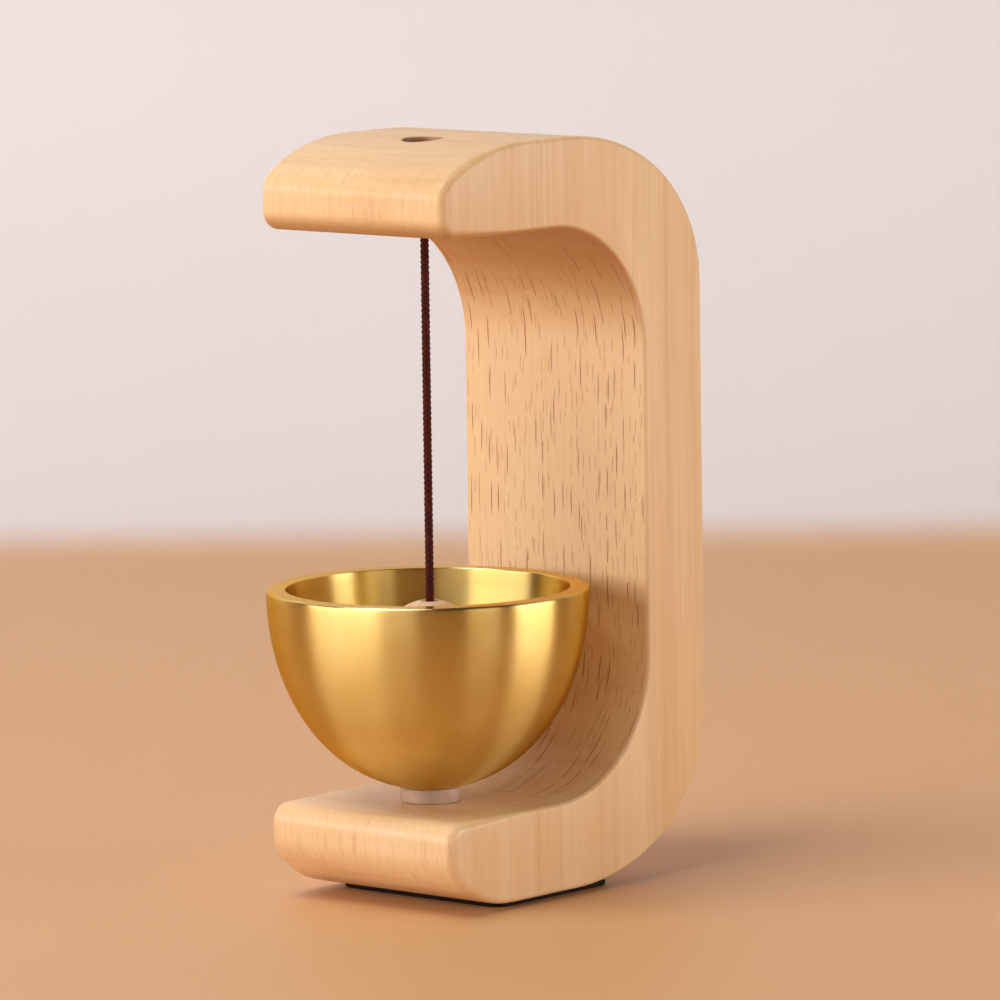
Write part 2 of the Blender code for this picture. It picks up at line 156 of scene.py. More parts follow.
class Nodes:
    """A short way to write one material's node tree."""

    def __init__(self, name):
        self.material = bpy.data.materials.new(name)
        self.material.use_nodes = True
        self.tree = self.material.node_tree
        self.shader = self.tree.nodes["Principled BSDF"]

    def add(self, kind, **settings):
        node = self.tree.nodes.new(kind)
        for key, value in settings.items():
            setattr(node, key, value)
        return node

    def link(self, source, target):
        self.tree.links.new(source, target)

    def feed(self, value, socket):
        """Link a socket, or set a plain number, vector or colour."""
        if isinstance(value, bpy.types.NodeSocket):
            self.link(value, socket)
        else:
            socket.default_value = value

    def position(self):
        """Places in the piece's own metres."""
        return self.add("ShaderNodeTexCoord").outputs["Object"]

    def scaled(self, vector, factors, offset=(0, 0, 0)):
        """The place times a factor along each axis, and then moved."""
        node = self.add("ShaderNodeMapping")
        self.feed(vector, node.inputs["Vector"])
        node.inputs["Scale"].default_value = factors
        node.inputs["Location"].default_value = offset
        return node.outputs["Vector"]

    def math(self, operation, a, b=0.0, c=0.0):
        node = self.add("ShaderNodeMath", operation=operation)
        for value, socket in zip((a, b, c), node.inputs):
            self.feed(value, socket)
        return node.outputs[0]

    def vector_math(self, operation, a, b=(0, 0, 0)):
        node = self.add("ShaderNodeVectorMath", operation=operation)
        self.feed(a, node.inputs[0])
        self.feed(b, node.inputs[1])
        return node

    def axes(self, vector):
        """The vector's x, y and z."""
        node = self.add("ShaderNodeSeparateXYZ")
        self.link(vector, node.inputs[0])
        return node.outputs

    def facing(self):
        """The x, y and z of the direction that the surface looks in."""
        return self.axes(self.add("ShaderNodeNewGeometry").outputs["Normal"])

    def from_axis(self, axes):
        """How far a place lies from the upright axis through zero, from its x, y and z."""
        flat = self.add("ShaderNodeCombineXYZ")
        self.link(axes[0], flat.inputs[0])
        self.link(axes[1], flat.inputs[1])
        return self.vector_math("LENGTH", flat.outputs[0]).outputs["Value"]

    def noise(self, vector, factors, detail=2.0, roughness=0.5):
        """Soft noise with so many bumps to a metre along each axis."""
        node = self.add("ShaderNodeTexNoise")
        self.feed(self.scaled(vector, factors), node.inputs["Vector"])
        node.inputs["Scale"].default_value = 1.0
        node.inputs["Detail"].default_value = detail
        node.inputs["Roughness"].default_value = roughness
        return node.outputs["Fac"]

    def remap(self, value, low, high, to_low=0.0, to_high=1.0, smooth=True):
        """Turn the range low to high into to_low to to_high, and hold the ends."""
        node = self.add("ShaderNodeMapRange")
        node.interpolation_type = "SMOOTHSTEP" if smooth else "LINEAR"
        self.feed(value, node.inputs["Value"])
        node.inputs["From Min"].default_value = low
        node.inputs["From Max"].default_value = high
        node.inputs["To Min"].default_value = to_low
        node.inputs["To Max"].default_value = to_high
        return node.outputs["Result"]

    def mix(self, factor, a, b):
        node = self.add("ShaderNodeMix", data_type="RGBA")
        self.feed(factor, node.inputs["Factor"])
        self.feed(a, node.inputs["A"])
        self.feed(b, node.inputs["B"])
        return node.outputs["Result"]

    def bump(self, height, distance, strength):
        node = self.add("ShaderNodeBump")
        self.feed(height, node.inputs["Height"])
        node.inputs["Distance"].default_value = distance
        node.inputs["Strength"].default_value = strength
        return node.outputs["Normal"]

    def set(self, **sockets):
        """Set or link the shader's own sockets: Base_Color=..., Roughness=..."""
        for name, value in sockets.items():
            self.feed(value, self.shader.inputs[name.replace("_", " ")])
        return self.material


def rgb(red, green, blue):
    """A colour given as it looks on a screen, 0 to 255, in linear light."""
    linear = []
    for value in (red, green, blue):
        share = value / 255
        linear.append(share / 12.92 if share <= 0.04045 else ((share + 0.055) / 1.055) ** 2.4)
    return (*linear, 1.0)


# ---------------------------------------------------------------- materials

def wood_flecks(nodes, position, cell, half_width, half_height, keep):
    """Short upright flecks, the cut ends of the wood's rays, at random in a lattice of cells."""
    cell_width, cell_depth, cell_height = cell
    lattice = nodes.scaled(position, (1 / cell_width, 1 / cell_depth, 1 / cell_height))
    voronoi = nodes.add("ShaderNodeTexVoronoi", feature="F1")
    nodes.link(lattice, voronoi.inputs["Vector"])
    voronoi.inputs["Scale"].default_value = 1.0
    voronoi.inputs["Randomness"].default_value = 1.0
    away = nodes.vector_math("SUBTRACT", lattice, voronoi.outputs["Position"]).outputs[0]
    fleck_shape = (cell_width / half_width, 0.3, cell_height / half_height)
    stretched = nodes.vector_math("MULTIPLY", away, fleck_shape)
    distance = nodes.vector_math("LENGTH", stretched.outputs[0]).outputs["Value"]
    inside = nodes.remap(distance, 1.0, 0.5)
    draw = nodes.add("ShaderNodeSeparateColor")
    nodes.link(voronoi.outputs["Color"], draw.inputs[0])
    kept = nodes.remap(draw.outputs[0], 1 - keep, 1 - keep * 0.5)
    return nodes.math("MULTIPLY", inside, kept)


def ray_faces(nodes, position):
    """Up to 1 where the wood shows its rays end on: faces that look along Y or Z, behind the middle."""
    sideways = nodes.math("ABSOLUTE", nodes.facing()[0])
    behind = nodes.remap(nodes.axes(position)[1], -0.006, 0.006, 0.10, 1.0)
    return nodes.math("MULTIPLY", nodes.remap(sideways, 0.25, 0.75, 1.0, 0.0), behind)


def bore_shade(nodes, position):
    """1 inside the hole that is drilled down through the upper arm."""
    place = nodes.axes(nodes.vector_math("SUBTRACT", position, (0, CORD_Y, 0)).outputs[0])
    near = nodes.remap(nodes.from_axis(place), COUNTERBORE_RADIUS + 0.0003, COUNTERBORE_RADIUS, smooth=False)
    high = nodes.remap(place[2], UPPER_ARM_Z + 0.0005, UPPER_ARM_Z + 0.0015, smooth=False)
    return nodes.math("MULTIPLY", near, high)


def end_strokes_and_under_shade(nodes, position):
    """Strokes where oil sinks into the end grain of the arms' front ends, and painted shade over the upper
    arm's whole underside.
    """
    facing = nodes.facing()
    place = nodes.axes(position)
    strokes = nodes.noise(position, (1300, 300, 150), 3.0, 0.6)
    ends = nodes.math("MULTIPLY", nodes.remap(facing[1], -0.35, -0.8), nodes.remap(place[1], -0.018, -0.022))
    end_share = nodes.math("MULTIPLY", nodes.remap(strokes, 0.50, 0.76, 0.0, 0.28), ends)
    high = nodes.remap(place[2], 0.05, 0.07)
    # Painted shade: faces of the upper arm that look down turn darker brown.
    painted_under_shade = nodes.math("MULTIPLY", nodes.remap(facing[2], 0.0, -0.75, 0.0, 0.65), high)
    return nodes.math("MAXIMUM", end_share, painted_under_shade)


def bent_grain(nodes, position):
    """The place, pushed a little back and forth along Y so that straight layers wander."""
    warp = nodes.noise(position, (60, 60, 9))
    shift = nodes.add("ShaderNodeCombineXYZ")
    nodes.feed(nodes.math("MULTIPLY_ADD", warp, 0.0016, -0.0008), shift.inputs[1])
    return nodes.vector_math("ADD", position, shift.outputs[0]).outputs[0]


def swayed_grain(nodes, position, bent):
    """The bent place, pushed a little from side to side so that upright flecks aren't ruled lines."""
    wander = nodes.noise(position, (140, 140, 260))
    sway = nodes.add("ShaderNodeCombineXYZ")
    nodes.feed(nodes.math("MULTIPLY_ADD", wander, 0.0005, -0.00025), sway.inputs[0])
    return nodes.vector_math("ADD", bent, sway.outputs[0]).outputs[0]


def beech_colour(nodes, bent, fibres):
    """The plain wood: broad pale and warm stretches, growth layers square to Y, and fine fibres."""
    pale = rgb(236, 201, 157)
    warm = rgb(230, 189, 140)
    layer_brown = rgb(208, 162, 112)
    fibre_brown = rgb(198, 148, 100)
    broad = nodes.noise(bent, (18, 110, 7))
    layers = nodes.noise(bent, (30, 620, 9), 3.0, 0.55)
    colour = nodes.mix(nodes.remap(broad, 0.30, 0.70), pale, warm)
    colour = nodes.mix(nodes.remap(layers, 0.45, 0.72, 0.0, 0.36), colour, layer_brown)
    return nodes.mix(nodes.remap(fibres, 0.45, 0.75, 0.0, 0.14), colour, fibre_brown)


def beech_material():
    """Beech with upright grain: growth layers square to Y, flecks on the faces that look along Y or Z."""
    short_brown = rgb(168, 84, 20)
    # Brown for the end grain strokes, and for the painted shade under the upper arm.
    long_brown = rgb(142, 54, 4)
    stroke_and_shade_brown = rgb(172, 114, 60)
    bore_brown = rgb(140, 70, 24)
    nodes = Nodes("oiled_beech")
    position = nodes.position()
    bent = bent_grain(nodes, position)
    fibres = nodes.noise(bent, (1500, 1500, 70))
    rays = ray_faces(nodes, position)
    swayed = swayed_grain(nodes, position, bent)
    long_flecks = wood_flecks(nodes, swayed, cell=(0.0019, 0.030, 0.0080),
                              half_width=0.00015, half_height=0.0033, keep=0.62)
    short_flecks = wood_flecks(nodes, nodes.scaled(swayed, (1, 1, 1), (0.013, 0.007, 0.021)),
                               cell=(0.0012, 0.020, 0.0042),
                               half_width=0.00011, half_height=0.0018, keep=0.70)
    short_share = nodes.math("MULTIPLY", nodes.math("MULTIPLY", short_flecks, rays), 0.55)
    long_share = nodes.math("MULTIPLY", nodes.math("MULTIPLY", long_flecks, rays), 0.74)
    bore_share = nodes.math("MULTIPLY", bore_shade(nodes, position), 0.8)
    colour = beech_colour(nodes, bent, fibres)
    colour = nodes.mix(short_share, colour, short_brown)
    colour = nodes.mix(long_share, colour, long_brown)
    # End grain strokes, and painted shade under the upper arm.
    colour = nodes.mix(end_strokes_and_under_shade(nodes, position), colour, stroke_and_shade_brown)
    colour = nodes.mix(bore_share, colour, bore_brown)
    normal = nodes.bump(fibres, 0.00001, 0.3)
    roughness = nodes.remap(fibres, 0.3, 0.7, 0.34, 0.42)
    return nodes.set(Base_Color=colour, Roughness=roughness, Normal=normal, Specular_IOR_Level=0.45)


def turning_marks(nodes, position):
    """Fine rings that a lathe leaves all round the bell's axis, close together in radius and height."""
    rings_per_metre = 9000.0
    place = nodes.axes(nodes.vector_math("SUBTRACT", position, (0, BELL_Y, 0)).outputs[0])
    rings = nodes.add("ShaderNodeCombineXYZ")
    nodes.feed(nodes.math("MULTIPLY", nodes.from_axis(place), rings_per_metre), rings.inputs[0])
    nodes.feed(nodes.math("MULTIPLY", place[2], rings_per_metre), rings.inputs[1])
    return nodes.noise(rings.outputs[0], (1, 1, 1), 2.0, 0.6)


def brass_material():
    """Satin brass turned on a lathe: its fine rings stretch the highlights up and down."""
    light_brass = rgb(227, 200, 128)
    deep_brass = rgb(219, 189, 113)
    rim_polish_and_painted_highlight = rgb(246, 224, 168)
    nodes = Nodes("satin_brass")
    position = nodes.position()
    turning = turning_marks(nodes, position)
    cloud = nodes.noise(position, (90, 90, 90))
    upward = nodes.facing()[2]
    colour = nodes.mix(nodes.remap(cloud, 0.3, 0.7), light_brass, deep_brass)
    # Faces that look up, the rim's top most of all, turn paler brass: a painted highlight; their lower
    # roughness below is the rim's polish.
    colour = nodes.mix(nodes.remap(upward, 0.4, 0.8), colour, rim_polish_and_painted_highlight)
    roughness = nodes.math("MULTIPLY", nodes.remap(turning, 0.3, 0.7, 0.30, 0.34),
                           nodes.remap(upward, 0.4, 0.8, 1.0, 0.6))
    normal = nodes.bump(turning, 0.000008, 0.25)
    tangent = nodes.add("ShaderNodeTangent", direction_type="RADIAL", axis="Z")
    nodes.link(tangent.outputs[0], nodes.shader.inputs["Tangent"])
    return nodes.set(Base_Color=colour, Roughness=roughness, Normal=normal, Metallic=1.0,
                     Anisotropic=0.95, Anisotropic_Rotation=0.25,
                     Specular_Tint=(0.80, 0.58, 0.24, 1.0))


def cord_material():
    """Dark red-brown thread, twisted finely."""
    nodes = Nodes("braided_thread")
    position = nodes.position()
    fibre = nodes.noise(position, (9000, 9000, 5200), 2.0, 0.6)
    tone = nodes.noise(position, (700, 700, 700))
    colour = nodes.mix(nodes.remap(tone, 0.35, 0.65), rgb(66, 10, 6), rgb(84, 17, 9))
    colour = nodes.mix(nodes.remap(fibre, 0.40, 0.75, 0.0, 0.5), colour, rgb(34, 5, 3))
    normal = nodes.bump(fibre, 0.00004, 0.6)
    return nodes.set(Base_Color=colour, Roughness=0.62, Normal=normal, Specular_IOR_Level=0.2)


def bead_material():
    """Pale turned wood with close grain."""
    nodes = Nodes("pale_turned_wood")
    position = nodes.position()
    grain = nodes.noise(position, (900, 160, 160), 3.0, 0.6)
    broad = nodes.noise(position, (260, 50, 50))
    pores = nodes.noise(position, (3800, 420, 3800), 2.0, 0.6)
    colour = nodes.mix(nodes.remap(broad, 0.35, 0.65), rgb(238, 208, 168), rgb(222, 186, 142))
    colour = nodes.mix(nodes.remap(grain, 0.45, 0.72, 0.0, 0.4), colour, rgb(196, 152, 108))
    colour = nodes.mix(nodes.remap(pores, 0.58, 0.78, 0.0, 0.35), colour, rgb(166, 120, 80))
    normal = nodes.bump(nodes.math("ADD", grain, pores), 0.00004, 0.5)
    return nodes.set(Base_Color=colour, Roughness=nodes.remap(grain, 0.3, 0.7, 0.42, 0.52), Normal=normal)


def silicone_material():
    """Cloudy soft washer that lets light through."""
    nodes = Nodes("clear_silicone")
    position = nodes.position()
    cloud = nodes.noise(position, (260, 260, 300))
    colour = nodes.mix(nodes.remap(cloud, 0.35, 0.65), rgb(222, 190, 170), rgb(212, 178, 158))
    skin = nodes.noise(position, (900, 900, 120))
    return nodes.set(Base_Color=colour, Roughness=nodes.remap(cloud, 0.3, 0.7, 0.16, 0.24),
                     Normal=nodes.bump(skin, 0.00002, 0.2), Transmission_Weight=0.35, IOR=1.41)


def pad_and_shadow_material():
    """Dark closed-cell foam under the base; its near-black colour also paints the shadow band under the
    wood.
    """
    nodes = Nodes("dark_foam_and_painted_shadow")
    cells = nodes.noise(nodes.position(), (2600, 2600, 2600), 3.0, 0.7)
    # Near-black: the foam's own colour, and a painted shadow under the base's edge.
    colour = nodes.mix(nodes.remap(cells, 0.35, 0.7), rgb(26, 16, 12), rgb(46, 32, 26))
    return nodes.set(Base_Color=colour, Roughness=nodes.remap(cells, 0.3, 0.7, 0.78, 0.92),
                     Normal=nodes.bump(cells, 0.00006, 0.6), Specular_IOR_Level=0.15)


def steel_material():
    """Zinc-plated screw steel."""
    nodes = Nodes("zinc_plated_steel")
    wear = nodes.noise(nodes.position(), (1500, 1500, 1500), 3.0)
    colour = nodes.mix(nodes.remap(wear, 0.35, 0.7), rgb(196, 196, 194), rgb(158, 158, 156))
    return nodes.set(Base_Color=colour, Roughness=nodes.remap(wear, 0.3, 0.7, 0.24, 0.38),
                     Normal=nodes.bump(wear, 0.00002, 0.3), Metallic=1.0)


# ---------------------------------------------------------------- mesh helpers

def arc(centre, half_axes, start, end, steps, power=2.0):
    """Points on an ellipse's arc, or on a squarer or flatter one by its power."""
    points = []
    for i in range(steps + 1):
        angle = math.radians(start + (end - start) * i / steps)
        c = math.cos(angle)
        s = math.sin(angle)
        across = math.copysign(abs(c) ** (2 / power), c) * half_axes[0]
        up = math.copysign(abs(s) ** (2 / power), s) * half_axes[1]
        points.append((centre[0] + across, centre[1] + up))
    return points


def without_repeats(points, smallest=1e-6):
    """The points of a closed outline, less those that fall on the one before."""
    kept = [points[0]]
    for point in points[1:]:
        if math.dist(point, kept[-1]) > smallest:
            kept.append(point)
    if math.dist(kept[0], kept[-1]) <= smallest:
        kept.pop()
    return kept


def walk(points, spacing):
    """Points at even steps along a path, about a set distance apart, with both of its ends."""
    lengths = run_lengths(points)
    steps = max(4, round(lengths[-1] / spacing))
    walked = []
    index = 0
    for i in range(steps + 1):
        at = lengths[-1] * i / steps
        while index < len(lengths) - 2 and lengths[index + 1] < at:
            index += 1
        run = lengths[index + 1] - lengths[index]
        share = (at - lengths[index]) / run if run > 0 else 0.0
        walked.append(points[index].lerp(points[index + 1], min(1.0, share)))
    return walked


def run_lengths(points):
    """How far along a path each of its points lies."""
    lengths = [0.0]
    for a, b in zip(points, points[1:]):
        lengths.append(lengths[-1] + (b - a).length)
    return lengths


def evenly(outline, spacing):
    """The same closed outline with its points at even steps."""
    loop = [Vector((*point, 0)) for point in outline]
    loop.append(loop[0].copy())
    return [(point.x, point.y) for point in walk(loop, spacing)[:-1]]


def smooth_curve(points):
    """A dense smooth path through the points of a route (Catmull-Rom)."""
    steps = 8
    dense = []
    last = len(points) - 1
    for i in range(last):
        before = points[max(i - 1, 0)]
        here = points[i]
        there = points[i + 1]
        after = points[min(i + 2, last)]
        for step in range(steps):
            t = step / steps
            dense.append(0.5 * (2 * here + (there - before) * t
                                + (2 * before - 5 * here + 4 * there - after) * t * t
                                + (3 * here - before - 3 * there + after) * t ** 3))
    dense.append(points[-1].copy())
    return dense


def new_object(name, mesh, material=None, smooth_degrees=None):
    """An object in the scene, with smooth shading across edges flatter than smooth_degrees."""
    obj = bpy.data.objects.new(name, mesh)
    bpy.context.scene.collection.objects.link(obj)
    if material:
        obj.data.materials.append(material)
    if smooth_degrees:
        shade_smooth(mesh, smooth_degrees)
    return obj


def shade_smooth(mesh, degrees):
    """Smooth shading that keeps edges sharper than the given angle."""
    mesh.shade_smooth()
    mesh.set_sharp_from_angle(angle=math.radians(degrees))


def bridge(work, rows):
    """Four-sided faces between each closed row of corners and the next."""
    for here, there in zip(rows, rows[1:]):
        for j in range(len(here)):
            k = (j + 1) % len(here)
            work.faces.new((here[j], here[k], there[k], there[j]))


def closed_mesh(name, work):
    """The mesh of a finished closed bmesh, with its faces turned outwards."""
    bmesh.ops.recalc_face_normals(work, faces=work.faces)
    mesh = bpy.data.meshes.new(name)
    work.to_mesh(mesh)
    work.free()
    return mesh


def turned_mesh(name, profile, steps, centre):
    """A closed (radius, height) loop turned round an upright axis at centre."""
    work = bmesh.new()
    rings = []
    for i in range(steps):
        angle = 2 * math.pi * i / steps
        turn = Vector((math.cos(angle), math.sin(angle), 0))
        rings.append([work.verts.new(centre + turn * radius + Vector((0, 0, height)))
                      for radius, height in profile])
    bridge(work, rings + rings[:1])
    return closed_mesh(name, work)


def path_frames(points):
    """For each point of a path, the point and two directions square to the path, without twist."""
    last = len(points) - 1
    frames = []
    side = None
    for i, point in enumerate(points):
        ahead = (points[min(i + 1, last)] - points[max(i - 1, 0)]).normalized()
        if side is None:
            helper = Vector((1, 0, 0)) if abs(ahead.x) < 0.8 else Vector((0, 1, 0))
            side = (helper - ahead * helper.dot(ahead)).normalized()
        else:
            side = (side - ahead * side.dot(ahead)).normalized()
        frames.append((point, side, ahead.cross(side)))
    return frames


def add_tube(work, centres, radius, sides, taper=0):
    """A closed tube through the centres, added to a bmesh; its last few rings may round off."""
    frames = path_frames(centres)
    rings = []
    last = len(frames) - 1
    for i, (point, side, up) in enumerate(frames):
        near_end = min(i, last - i)
        size = radius
        if near_end < taper:
            size = radius * math.sqrt(1 - (1 - (near_end + 0.5) / (taper + 0.5)) ** 2)
        ring = []
        for j in range(sides):
            angle = 2 * math.pi * j / sides
            ring.append(work.verts.new(point + (side * math.cos(angle) + up * math.sin(angle)) * size))
        rings.append(ring)
    bridge(work, rings)
    work.faces.new(list(reversed(rings[0])))
    work.faces.new(rings[-1])


def strand_centres(frames, travelled, direction, start, middle, weave):
    """One strand's path round the cord: direction 1 or -1, waving in and out as strands cross."""
    centres = []
    for (point, side, up), run in zip(frames, travelled):
        turned = 2 * math.pi * run / CORD_PITCH
        angle = direction * turned + start
        out = middle + direction * weave * math.cos(CORD_STRANDS * turned)
        centres.append(point + (side * math.cos(angle) + up * math.sin(angle)) * out)
    return centres


def braided_cord(name, route, material):
    """A round braid along a route: strands wind both ways round a core, over and under each other."""
    strand_radius = CORD_DIAMETER * STRAND_SHARE
    middle = CORD_DIAMETER / 2 - strand_radius
    weave = strand_radius * 0.30
    core_radius = middle * 0.8
    path = walk(smooth_curve(route), BRAID_STEP)
    frames = path_frames(path)
    travelled = run_lengths(path)
    work = bmesh.new()
    for direction in (1, -1):
        for strand in range(CORD_STRANDS):
            start = 2 * math.pi * strand / CORD_STRANDS
            centres = strand_centres(frames, travelled, direction, start, middle, weave)
            add_tube(work, centres, strand_radius, STRAND_SIDES, taper=2)
    add_tube(work, path[1:-1], core_radius, STRAND_SIDES)
    return new_object(name, closed_mesh(name, work), material, smooth_degrees=60)


def boolean_cut(obj, cutter):
    """Cut one mesh object by another and remove the cutter."""
    boolean = obj.modifiers.new("cut", "BOOLEAN")
    boolean.operation = "DIFFERENCE"
    boolean.solver = "EXACT"
    boolean.object = cutter
    apply_modifiers(obj)
    bpy.data.objects.remove(cutter, do_unlink=True)


def apply_modifiers(obj):
    """Give the object the mesh that its modifiers make, and drop them."""
    bpy.context.view_layer.update()
    evaluated = obj.evaluated_get(bpy.context.evaluated_depsgraph_get())
    mesh = bpy.data.meshes.new_from_object(evaluated)
    obj.modifiers.clear()
    old = obj.data
    obj.data = mesh
    mesh.name = obj.name
    bpy.data.meshes.remove(old)


def upright_cutter(profile, y):
    """A turned cutter about an upright axis; the profile runs from axis to axis."""
    steps = CUTTER_STEPS
    work = bmesh.new()
    inner = [(radius, height) for radius, height in profile if radius > 0]
    rings = []
    for i in range(steps):
        angle = 2 * math.pi * i / steps
        rings.append([work.verts.new((radius * math.cos(angle), y + radius * math.sin(angle), height))
                      for radius, height in inner])
    top = work.verts.new((0, y, profile[0][1]))
    bottom = work.verts.new((0, y, profile[-1][1]))
    for i in range(steps):
        here = rings[i]
        there = rings[(i + 1) % steps]
        work.faces.new((top, here[0], there[0]))
        for j in range(len(inner) - 1):
            work.faces.new((here[j], here[j + 1], there[j + 1], there[j]))
        work.faces.new((here[-1], bottom, there[-1]))
    return new_object("cutter", closed_mesh("cutter", work))


# ---------------------------------------------------------------- pieces

def frame_outline():
    """The C seen from +X, as (y, z) points, from the upper nose round the back."""
    back_y = wood_high.y
    front_y = wood_low.y
    top_z = wood_high.z
    base_z = wood_low.z
    inner_y = back_y - BACK_THICKNESS
    outer_y = back_y - OUTER_CORNER[0]
    upper_nose = (front_y + UPPER_NOSE[0], top_z - UPPER_NOSE[1])
    lower_nose = (front_y + LOWER_NOSE[0], base_z + LOWER_NOSE[1])
    lip = (NOSE_LIP, NOSE_LIP)
    lip_y = front_y + NOSE_LIP
    corner_y = inner_y - INNER_CORNER[0]
    upper_corner = (outer_y, top_z - OUTER_CORNER[1])
    lower_corner = (outer_y, base_z + OUTER_CORNER[1])
    points = arc(upper_nose, UPPER_NOSE, 180, 90, NOSE_STEPS, NOSE_POWER)
    points += arc(upper_corner, OUTER_CORNER, 90, 0, OUTER_CORNER_STEPS, OUTER_CORNER_POWER)
    points += arc(lower_corner, OUTER_CORNER, 0, -90, OUTER_CORNER_STEPS, OUTER_CORNER_POWER)
    points += arc(lower_nose, LOWER_NOSE, -90, -180, NOSE_STEPS, NOSE_POWER)
    points += arc((lip_y, ARM_TOP_Z - NOSE_LIP), lip, 180, 90, LIP_STEPS)
    points += arc((corner_y, ARM_TOP_Z + INNER_CORNER[1]), INNER_CORNER, -90, 0, INNER_CORNER_STEPS)
    points += arc((corner_y, UPPER_ARM_Z - INNER_CORNER[1]), INNER_CORNER, 0, 90, INNER_CORNER_STEPS)
    points += arc((lip_y, UPPER_ARM_Z + NOSE_LIP), lip, -90, -180, LIP_STEPS)
    return evenly(without_repeats(points), OUTLINE_STEP)


def outline_normals(outline):
    """For each outline point, the direction that points out of the wood."""
    normals = []
    count = len(outline)
    for i in range(count):
        before = outline[i - 1]
        after = outline[(i + 1) % count]
        along = Vector((after[0] - before[0], after[1] - before[1])).normalized()
        normals.append(Vector((-along.y, along.x)))
    return normals


def edge_round(y):
    """How softly the side edges roll over: most at the noses, less from there back."""
    behind = y - wood_low.y - NOSE_EDGE_LENGTH
    share = min(1.0, max(0.0, behind / EDGE_BLEND_LENGTH))
    return NOSE_EDGE_ROUND + (SIDE_EDGE_ROUND - NOSE_EDGE_ROUND) * share


def frame_mesh():
    """The frame as outlines stacked across its width, whose side edges roll over in a quarter round."""
    outline = frame_outline()
    normals = outline_normals(outline)
    rounds = [edge_round(y) for y, _ in outline]
    half = wood_high.x
    roll = [0.5 * math.pi * i / EDGE_STEPS for i in range(EDGE_STEPS, -1, -1)]
    across = [(1, angle) for angle in roll] + [(-1, angle) for angle in reversed(roll)]
    work = bmesh.new()
    rows = []
    for side, angle in across:
        row = []
        for (y, z), normal, size in zip(outline, normals, rounds):
            inset = size * (1 - math.cos(angle))
            x = side * (half - size * (1 - math.sin(angle)))
            row.append(work.verts.new((x, y - normal.x * inset, z - normal.y * inset)))
        rows.append(row)
    bridge(work, rows)
    work.faces.new(rows[0])
    work.faces.new(list(reversed(rows[-1])))
    return closed_mesh("beech_frame", work)


def arm_hole_profile():
    """The hole through the upper arm as (radius, height) points, from above it to below it."""
    top = wood_high.z
    floor = top - COUNTERBORE_DEPTH
    soft = COUNTERBORE_ROUND
    over = CUTTER_OVERSHOOT
    wide = COUNTERBORE_RADIUS + soft
    mouth = CORD_HOLE_RADIUS + CORD_MOUTH_CHAMFER
    return [(0, top + over), (wide + over, top + over),
            (wide, top), (COUNTERBORE_RADIUS + soft * 0.3, top - soft * 0.3),
            (COUNTERBORE_RADIUS, top - soft), (COUNTERBORE_RADIUS, floor),
            (CORD_HOLE_RADIUS, floor - CORD_HOLE_COUNTERSINK),
            (CORD_HOLE_RADIUS, UPPER_ARM_Z + CORD_MOUTH_CHAMFER),
            (mouth, UPPER_ARM_Z), (mouth + over, UPPER_ARM_Z - over), (0, UPPER_ARM_Z - over)]


def make_wood_frame(material):
    """The C-shaped frame with its counterbored hole for the cord."""
    piece = new_object("beech_frame", frame_mesh(), material)
    boolean_cut(piece, upright_cutter(arm_hole_profile(), CORD_Y))
    shade_smooth(piece.data, 38)
    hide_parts("wood_frame")
    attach(piece, "frame")


def make_pad(material):
    """The pad, touching the wood, with softened corners and edges."""
    edge = PAD_EDGE_ROUND
    low = Vector((pad_low.x, pad_low.y, 0))
    high = Vector((pad_high.x, pad_high.y, wood_low.z))
    work = bmesh.new()
    rows = []
    for inset, z in ((edge, low.z), (0, low.z + edge), (0, high.z - edge), (edge, high.z)):
        outline = []
        for cx, cy, start in ((1, 1, 0), (-1, 1, 90), (-1, -1, 180), (1, -1, 270)):
            centre_x = (high.x - PAD_CORNER) * cx
            centre_y = (high.y - PAD_CORNER) if cy > 0 else (low.y + PAD_CORNER)
            size = PAD_CORNER - inset
            outline += arc((centre_x, centre_y), (size, size), start, start + 90, PAD_CORNER_STEPS)
        rows.append([work.verts.new((x, y, z)) for x, y in without_repeats(outline)])
    bridge(work, rows)
    work.faces.new(list(reversed(rows[0])))
    work.faces.new(rows[-1])
    piece = new_object("foam_pad", closed_mesh("foam_pad", work), material, smooth_degrees=50)
    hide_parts("base_pad")
    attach(piece, "frame")


def bowl_curve(rim_radius, end_radius, depth):
    """Half axes of the curve from the rim's edge down to end_radius, and the angle it ends at."""
    end_angle = math.acos((end_radius / rim_radius) ** (BOWL_POWER / 2))
    half_height = depth / math.sin(end_angle) ** (2 / BOWL_POWER)
    return (rim_radius, half_height), math.degrees(end_angle)


